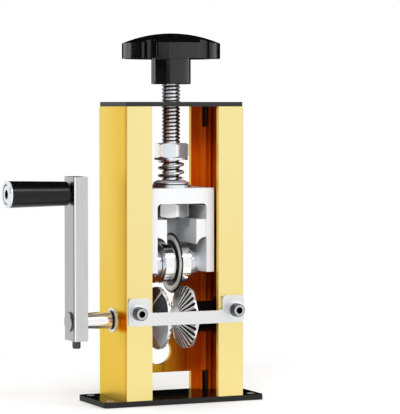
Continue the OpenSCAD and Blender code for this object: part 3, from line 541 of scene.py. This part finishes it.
def blade_finish():
    """Satin disc with a painted dark reflection on the bevel round its edge and painted shade
    beside the depth rings.
    """
    look = metal_finish("blade_steel", grey(0.85), 0.26, metallic=0.45)
    reach = distance(look.y, look.z - AXLE_Z)
    rings = look.turned_rings(reach, 4000)
    # painted dark reflection on the bevel, and painted shade beside the depth rings
    bevel = reach.above(15.2 * MM, 15.4 * MM)
    painted_shade = reach.below(12.4 * MM, 13.2 * MM)
    satin = look.mix(rings, grey(0.8), grey(0.98))
    look.paint("Base Color", look.mix(bevel.most(painted_shade), satin, grey(0.03)))
    look.paint("Roughness", 0.3 - bevel * 0.1 + (rings - 0.5) * 0.1)
    look.bump(rings, 0.004 * MM, 0.4)
    return look


def ring_finish():
    """Polished depth rings with fine lines round them and painted dark reflections at their tops
    and undersides.
    """
    look = metal_finish("ring_steel", grey(0.97), 0.12, metallic=0.95)
    lines = look.noise(900, 2, (1, 0.01, 0.01))
    # painted dark reflections on the tops and undersides
    painted_shade = abs(look.nz).above(0.68, 0.84) * 0.85
    look.paint("Base Color", look.mix(painted_shade, look.tone, grey(0.02)))
    look.paint("Roughness", 0.06 + lines * 0.08)
    look.bump(lines, 0.003 * MM, 0.4)
    return look


def spring_finish():
    """Bright spring wire and its seats, with painted shade underneath and on their left and right.
    """
    look = metal_finish("spring_wire", (0.88, 0.95, 1.0), 0.16, metallic=0.6)
    # painted shade underneath and on the left and right sides
    painted_shade = look.nz.below(-0.5, 0.1).most(abs(look.nx).above(0.4, 0.75))
    look.paint("Base Color", look.mix(painted_shade * 0.9, look.tone, grey(0.01)))
    return look


def block_finish():
    """Bead-blasted aluminium, with painted shade on the undersides in its pocket and along the
    borders of the pocket's rear wall."""
    look = metal_finish("blasted_aluminium", (0.905, 0.925, 0.945), 0.42, metallic=0.4, grain=1500)
    rise = look.z - BLOCK_FOOT
    # painted shade on the undersides in the pocket and along the top and foot of its rear wall
    undersides = look.nz.below(-0.7, -0.4) * rise.above(14.2 * MM, 18.2 * MM)
    wall = look.y.above(8 * MM, 9.5 * MM) * look.ny.below(-0.8, -0.5)
    border = rise.above(22.2 * MM, 35.2 * MM).most(rise.below(12.2 * MM, 20.2 * MM) * 0.93)
    pocket_shade = look.mix(look.noise(300, 3), grey(0.02), grey(0.06))
    look.paint("Base Color", look.mix(undersides.most(wall * border), look.tone, pocket_shade))
    return look


def base_finish():
    """Gloss black paint on top, duller at the cut edges, bare metal in the bench holes."""
    look = Finish("black_paint", {"Specular IOR Level": 0.06})
    top = look.nz.above(0.4, 0.8)
    from_hole = distance(abs(look.x) - BENCH_HOLE_X, abs(look.y) - BENCH_HOLE_Y)
    bare = from_hole.below(2.32 * MM, 2.5 * MM)
    grain = look.noise(1100, 2)
    paint = look.mix(top, look.mix(grain, grey(0.015), grey(0.03)), grey(0.003))
    look.paint("Base Color", look.mix(bare, paint, grey(0.8)))
    look.paint("Metallic", bare)
    look.paint("Roughness", 0.42 - top * 0.2 + (grain - 0.5) * 0.06)
    look.bump(grain, 0.008 * MM, 0.4)
    return look


def cap_screw_finish():
    """Black oxide cap screws: a front face painted lighter grey as a sheen inside a dark rim, with
    painted shade in the socket.
    """
    look = Finish("cap_screw_oxide", {"Metallic": 0.8})
    # the front face is painted lighter grey as a sheen, except at its rim; the socket gets painted
    # shade
    face = look.ny.below(-0.9, -0.6)
    reach = distance(abs(look.x) - GUIDE_SCREW_X, look.z - GUIDE_SCREW_Z)
    socket = reach.below(1.7 * MM, 2.0 * MM)
    rim = reach.above(3.0 * MM, 3.2 * MM)
    grain = look.noise(1500, 3)
    metal = look.mix(face * (1 - rim), look.mix(grain, grey(0.012), grey(0.035)), grey(0.5))
    look.paint("Base Color", look.mix(socket, metal, grey(0.004)))
    look.paint("Roughness", 0.24 + (grain - 0.5) * 0.08 + socket * 0.3)
    look.bump(grain, 0.004 * MM, 0.4)
    return look


def handle_bolt_finish():
    """Bright bolt head with painted shade in its socket and a painted shadow on the rim inside the
    grip.
    """
    look = metal_finish("bolt_zinc", grey(0.9), 0.2, metallic=0.7)
    reach = distance(look.y, look.z - HANDLE_Z)
    # painted shade in the socket and a painted shadow on the rim inside the grip
    socket, rim = reach.below(2.4 * MM, 2.7 * MM), reach.above(4.85 * MM, 5.1 * MM)
    look.paint("Base Color", look.mix(socket.most(rim), look.tone, grey(0.004)))
    return look


def shaft_finish():
    """Ground and polished shaft with painted shade from its left bush on, and a duller head
    outside the arm, painted grey as shade, with painted shadow round its side."""
    look = metal_finish("shaft_steel", grey(0.97), 0.08, metallic=0.8)
    # painted shade from the left bush on; the head outside the arm is painted grey as shade, and
    # its side black as shadow
    past_bush = look.x.above(BUSH_LEFT - 1.7 * MM, BUSH_LEFT - 0.9 * MM)
    head = look.x.below(ARM_LEFT - 0.3 * MM, ARM_LEFT + 0.1 * MM)
    rim = head * look.nx.above(-0.75, -0.5)
    tone = look.mix(head, look.tone, grey(0.42))
    look.paint("Base Color", look.mix(past_bush.most(rim), tone, grey(0.01)))
    look.paint("Roughness", 0.08 + head * 0.24)
    return look


# Which finish each piece wears: its own, or else that of its material slot

FINISH_OF_SLOT = {
    "base_paint": base_finish(),
    "gold_frame": gold_finish(),
    "plate_paint": plastic_finish("charcoal_paint", grey(0.022), 0.45, specular=0.25,
                                  depth=0.012 * MM, grain=1100),
    "black_screws": plastic_finish("black_oxide", grey(0.015), 0.3, specular=0.8,
                                   depth=0.004 * MM, grain=1600),
    "nickel": metal_finish("satin_nickel", grey(0.84), 0.36),
    "zinc": metal_finish("bright_zinc", (0.88, 0.94, 1.0), 0.15, metallic=0.5),
    "dark_steel": metal_finish("dark_steel", grey(0.25), 0.3),
    "polished_steel": metal_finish("polished_steel", grey(0.95), 0.1, metallic=0.75),
    "block_silver": block_finish(),
    "black_nylon": plastic_finish("black_nylon", grey(0.003), 0.3, specular=0.12),
    "grip_plastic": plastic_finish("grip_plastic", grey(0.002), 0.24, specular=0.3,
                                   depth=0.003 * MM, grain=700),
    "knob_plastic": plastic_finish("knob_plastic", grey(0.002), 0.12, specular=0.6,
                                   depth=0.003 * MM, grain=700),
}
ROLLED, SPRUNG = ring_finish(), spring_finish()
FINISH_OF_NODE = {
    "crank_arm": arm_finish(),
    "threaded_rod": thread_finish(),
    "feed_roller": roller_finish(),
    "blade_disc": blade_finish(),
    "left_depth_ring": ROLLED,
    "right_depth_ring": ROLLED,
    "guide_screws": cap_screw_finish(),
    "handle_bolt": handle_bolt_finish(),
    "drive_shaft": shaft_finish(),
    "pressure_spring": SPRUNG,
    "spring_washer": SPRUNG,
    "spring_seat": SPRUNG,
    "seat_washer": SPRUNG,
    "upper_nut": nut_finish("upper_nut_zinc", (0.84, 0.94, 1.0)),
    "lower_nut": nut_finish("lower_nut_zinc", (0.9, 0.9, 0.9)),
}


def coat(piece, finish):
    piece.data.materials.clear()
    piece.data.materials.append(finish.material)


# Threaded rod

PITCH, THREAD_DEPTH = 2 * MM, 0.75 * MM
THREAD_STEPS, ROD_SIDES = 40, 96
# root, flank, crest and flank: each one's share of the pitch and its step outwards
THREAD_SHAPE = ((0.1, 0), (0.27, THREAD_DEPTH), (0.36, 0), (0.27, -THREAD_DEPTH))
ROD_CHAMFER = 0.9 * MM


def thread_outline(root, start):
    """One open line that goes up one pitch of the thread, from a radius and a height."""
    bpy.ops.mesh.primitive_plane_add(size=MM, location=(0, 0, 0))
    outline = bpy.context.active_object
    edit(outline)
    pick(outline, "verts", lambda vertex: vertex.index > 0)
    bpy.ops.mesh.delete(type="VERT")
    mesh = bmesh.from_edit_mesh(outline.data)
    mesh.verts.ensure_lookup_table()
    mesh.verts[0].co = (root, 0, start)
    bmesh.update_edit_mesh(outline.data)
    for share, reach in THREAD_SHAPE:
        top = max(vertex.co.z for vertex in bmesh.from_edit_mesh(outline.data).verts)
        pick(outline, "verts", lambda vertex: vertex.co.z == top)
        bpy.ops.mesh.extrude_region_move(
            TRANSFORM_OT_translate={"value": (reach, 0, share * PITCH)})
    done()
    return outline


def screw_round(piece, turns):
    """Carries an outline round Z, one pitch up with each turn."""
    screw = piece.modifiers.new("thread", "SCREW")
    screw.axis = "Z"
    screw.angle = 2 * math.pi
    screw.screw_offset = PITCH
    screw.iterations = turns
    screw.steps = screw.render_steps = THREAD_STEPS
    screw.use_merge_vertices = True
    screw.merge_threshold = 0.01 * MM
    apply_modifier(piece, screw)


def cut_to_length(piece, bottom, top):
    """Cuts a piece off square at two heights and closes it there."""
    edit(piece)
    for height, upper in ((bottom, False), (top, True)):
        bpy.ops.mesh.select_all(action="SELECT")
        bpy.ops.mesh.bisect(plane_co=(0, 0, height), plane_no=(0, 0, 1), use_fill=True,
                            clear_outer=upper, clear_inner=not upper)
    bpy.ops.mesh.select_all(action="SELECT")
    bpy.ops.mesh.remove_doubles(threshold=MERGE_GAP)
    bpy.ops.mesh.normals_make_consistent(inside=False)
    done()


def is_level(edge):
    return abs(edge.verts[0].co.z - edge.verts[1].co.z) < 0.1 * MM


def chamfered_bar(radius, bottom, top):
    """A plain round bar along Z whose two end rims are chamfered."""
    bpy.ops.mesh.primitive_cylinder_add(vertices=ROD_SIDES, radius=radius, depth=top - bottom,
                                        location=(0, 0, (bottom + top) / 2))
    bar = bpy.context.active_object
    settle(bar)
    edit(bar, "EDGE")
    pick(bar, "edges", is_level)
    bpy.ops.mesh.bevel(offset=ROD_CHAMFER, segments=1, affect="EDGES")
    done()
    return bar


def threaded_rod():
    """A rod with a right-hand thread cut along it and chamfered ends."""
    low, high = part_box("threaded_rod")
    start = low.z - 2 * PITCH
    rod = thread_outline(high.x - THREAD_DEPTH, start)
    screw_round(rod, math.ceil((high.z - start) / PITCH) + 2)
    cut_to_length(rod, low.z, high.z)
    keep_inside(rod, chamfered_bar(high.x, low.z, high.z))
    bpy.ops.object.shade_smooth_by_angle(angle=math.radians(25))
    return stand_for(rod, "threaded_rod")


# Pressure spring

COILS, COIL_RADIUS, WIRE_RADIUS = 2.5, 6.5 * MM, 0.8 * MM
END_SQUEEZE, SPRING_TURN = 0.15, math.radians(-24)
RINGS_A_TURN, WIRE_POINTS = 48, 14
# the solid's wire has six sides, so it reaches this share of its radius up and down
SOLID_WIRE_SHARE = math.sin(math.radians(60))


def spring_heights(rise):
    """Height of each ring of the wire, closer together at both ends of the spring."""
    rings = round(RINGS_A_TURN * COILS)
    shares = [ring / rings for ring in range(rings + 1)]
    return [rise * (share - END_SQUEEZE * math.sin(2 * math.pi * share) / (2 * math.pi))
            for share in shares]


def pressure_spring():
    """Round wire carried up a helix, ring by ring, whose turns lie closer at its ends."""
    low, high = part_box("pressure_spring")
    rise = high.z - low.z - 2 * WIRE_RADIUS * SOLID_WIRE_SHARE
    foot = (low.z + high.z - rise) / 2
    bpy.ops.object.select_all(action="DESELECT")
    bpy.ops.mesh.primitive_circle_add(
        vertices=WIRE_POINTS, radius=WIRE_RADIUS, rotation=(math.pi / 2, 0, SPRING_TURN),
        location=(COIL_RADIUS * math.cos(SPRING_TURN), COIL_RADIUS * math.sin(SPRING_TURN), foot))
    spring = bpy.context.active_object
    settle(spring)
    edit(spring, "EDGE")
    bpy.ops.mesh.select_all(action="SELECT")
    heights = spring_heights(rise)
    for lower, upper in zip(heights, heights[1:]):
        bpy.ops.mesh.extrude_edges_move(
            TRANSFORM_OT_translate={"value": (0, 0, upper - lower)})
        # with no window this operator turns the other way, so that minus is anticlockwise
        bpy.ops.transform.rotate(value=-2 * math.pi / RINGS_A_TURN, orient_axis="Z",
                                 center_override=(0, 0, 0))
    bpy.ops.mesh.select_all(action="DESELECT")
    bpy.ops.mesh.select_non_manifold()
    bpy.ops.mesh.edge_face_add()
    bpy.ops.mesh.select_all(action="SELECT")
    bpy.ops.mesh.normals_make_consistent(inside=False)
    done()
    bpy.ops.object.shade_smooth_by_angle(angle=math.radians(40))
    stand_for(spring, "pressure_spring")
    # the slider rises 5 mm under a spring 11.4 mm long, which keeps 0.56 of its length
    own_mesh(spring)
    return spring


# Softened edges: the width of the rounding on each node, in millimetres

SOFT_EDGES = {
    "slider_block": 0.25, "crank_arm": 0.3, "guide_bar": 0.2, "base_plate": 0.25,
    "top_plate": 0.2, "upper_nut": 0.2, "lower_nut": 0.2, "frame_channel": 0.15,
    "star_knob": 0.9,
}
SHARP_ANGLE = math.radians(32)


def merged_copy(node):
    """A copy of a CAD node with its doubles merged and its flat faces made whole."""
    only(frame["nodes"][node])
    bpy.ops.object.duplicate()
    piece = bpy.context.view_layer.objects.active
    piece.parent = None
    # the copy is no CAD node any more, so it drops the two marks of one
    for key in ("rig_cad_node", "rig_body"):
        if key in piece:
            del piece[key]
    edit(piece)
    bpy.ops.mesh.select_all(action="SELECT")
    bpy.ops.mesh.remove_doubles(threshold=MERGE_GAP)
    bpy.ops.mesh.dissolve_limited(angle_limit=math.radians(0.4))
    done()
    bpy.ops.mesh.customdata_custom_splitnormals_clear()
    return piece


def softened(node, width):
    """A copy of a CAD node with its sharp edges rounded and the rest shaded smooth."""
    piece = merged_copy(node)
    rounding = piece.modifiers.new("edges", "BEVEL")
    rounding.width = width
    rounding.segments = 2
    rounding.limit_method = "ANGLE"
    rounding.angle_limit = SHARP_ANGLE
    rounding.miter_outer = "MITER_ARC"
    apply_modifier(piece, rounding)
    bpy.ops.object.shade_smooth_by_angle(angle=SHARP_ANGLE)
    flat = piece.modifiers.new("flat_faces", "WEIGHTED_NORMAL")
    flat.keep_sharp = True
    apply_modifier(piece, flat)
    return stand_for(piece, node)


PIECES = {"threaded_rod": threaded_rod(), "pressure_spring": pressure_spring()}
for node, width in SOFT_EDGES.items():
    PIECES[node] = softened(node, width * MM)
for node, slot in SLOT_OF.items():
    finish = FINISH_OF_NODE.get(node, FINISH_OF_SLOT[slot])
    coat(frame["nodes"][node], finish)
    if node in PIECES:
        coat(PIECES[node], finish)


# Studio: a white room and floor, soft lamps for matt surfaces, and black flags in gloss

SKY = 0.45
FLOOR_SIZE, FLOOR_DROP = 9, 0.2 * MM
# square of the distance from the middle, where the lit floor starts and ends its fade
FADE_START, FADE_END = 0.008, 0.06
NEAR_GLOW = 0.1
FLAG_RADIUS, FLAG_SIDES = 0.75, 72
ROOF_RADIUS, ROOF_PLACE = 0.42, (0, -0.05, 0.7)
# height of the lower and upper edge, then the two bearings in degrees from +X
FLAGS = {
    "neck_flag": (0.165, 0.205, 138, 238),
    "head_flag": (0.205, 0.24, 138, 222),
    "dome_flag": (0.24, 0.62, 163, 264),
    "back_flag": (0.0, 1.4, 18, 98),
}


def path_seen(tree):
    """1 for camera, glossy and transmission rays, 0 for the light that falls on things."""
    path = add_node(tree, "ShaderNodeLightPath")
    by_eye, by_gloss, by_glass = (
        Number(tree, path.outputs[name])
        for name in ("Is Camera Ray", "Is Glossy Ray", "Is Transmission Ray"))
    return by_eye.most(by_gloss).most(by_glass)


def floor_finish():
    """White floor: lit and shadowed near the object, an even glow like the room's far off."""
    look = Finish("white_floor", {
        "Roughness": 1.0, "Specular IOR Level": 0.0, "Emission Strength": 1.0})
    seen = path_seen(look.tree)
    far = (look.x * look.x + look.y * look.y).above(FADE_START, FADE_END)
    look.paint("Base Color", look.mix(far, grey(0.8), grey(0)))
    glow = far * (SKY + seen * (1 - SKY)) + (1 - far) * seen * NEAR_GLOW
    look.paint("Emission Color", look.mix(glow, grey(0), grey(1)))
    return look


bpy.ops.mesh.primitive_plane_add(size=FLOOR_SIZE, location=(0, 0, -FLOOR_DROP))
floor = bpy.context.active_object
floor.name = "floor"
settle(floor)
coat(floor, floor_finish())

world = bpy.data.worlds.new("white_room")
bpy.context.scene.world = world
world.use_nodes = True
background = world.node_tree.nodes["Background"]
background.inputs["Color"].default_value = (1, 1, 1, 1)
brightness = SKY + path_seen(world.node_tree) * (1 - SKY)
world.node_tree.links.new(brightness.socket, background.inputs["Strength"])


def lamp(name, place, size, power, aim=(0, 0, 0.1), mirrored=False):
    """A soft lamp. Gloss shows the room and the flags, and only a mirrored lamp itself."""
    data = bpy.data.lights.new(name, "AREA")
    data.shape = "RECTANGLE"
    data.size, data.size_y = size
    data.energy = power
    light = bpy.data.objects.new(name, data)
    light.location = place
    light.rotation_euler = (Vector(aim) - Vector(place)).to_track_quat("-Z", "Y").to_euler()
    light.visible_glossy = mirrored
    bpy.context.scene.collection.objects.link(light)


lamp("key", place=(-0.7, -1.1, 1.0), size=(0.8, 0.6), power=14)
lamp("fill", place=(1.1, -0.9, 0.6), size=(0.7, 0.9), power=8)
lamp("top", place=(0, 0.2, 1.3), size=(1.0, 1.0), power=7)
lamp("strip", place=(0.42, -1.0, 0.9), size=(0.5, 0.14), power=2, aim=(0, 0, 0.12),
     mirrored=True)
lamp("edge_strip", place=(-0.66, 0.61, 0.3), size=(0.06, 0.5), power=0.3, aim=(0, 0, 0.15),
     mirrored=True)

BLACK_FELT = plastic_finish("black_felt", grey(0.002), 1.0, specular=0.0)


def only_in_gloss(card, name):
    """Gives a card its name and black felt, and hides it from all but glossy rays."""
    card.name = name
    card.visible_camera = card.visible_diffuse = card.visible_shadow = False
    card.visible_transmission = False
    coat(card, BLACK_FELT)


def degrees_past(start, face):
    """Degrees anticlockwise from a bearing to the middle of a face, seen from above."""
    middle = face.calc_center_median()
    return (math.degrees(math.atan2(middle.y, middle.x)) - start) % 360


def flag(name, bottom, top, start, end):
    """A curved black flag round the object, between two heights and two bearings."""
    bpy.ops.mesh.primitive_cylinder_add(
        vertices=FLAG_SIDES, radius=FLAG_RADIUS, depth=top - bottom, end_fill_type="NOTHING",
        location=(0, 0, (bottom + top) / 2))
    card = bpy.context.active_object
    settle(card)
    edit(card, "FACE")
    pick(card, "faces", lambda face: not 0 < degrees_past(start, face) < end - start)
    bpy.ops.mesh.delete(type="FACE")
    done()
    only_in_gloss(card, name)


for name, (bottom, top, start, end) in FLAGS.items():
    flag(name, bottom, top, start, end)
bpy.ops.mesh.primitive_circle_add(vertices=64, radius=ROOF_RADIUS, fill_type="NGON",
                                  location=ROOF_PLACE)
roof_flag = bpy.context.active_object
settle(roof_flag)
only_in_gloss(roof_flag, "roof_flag")

bpy.context.scene.view_settings.view_transform = "Standard"
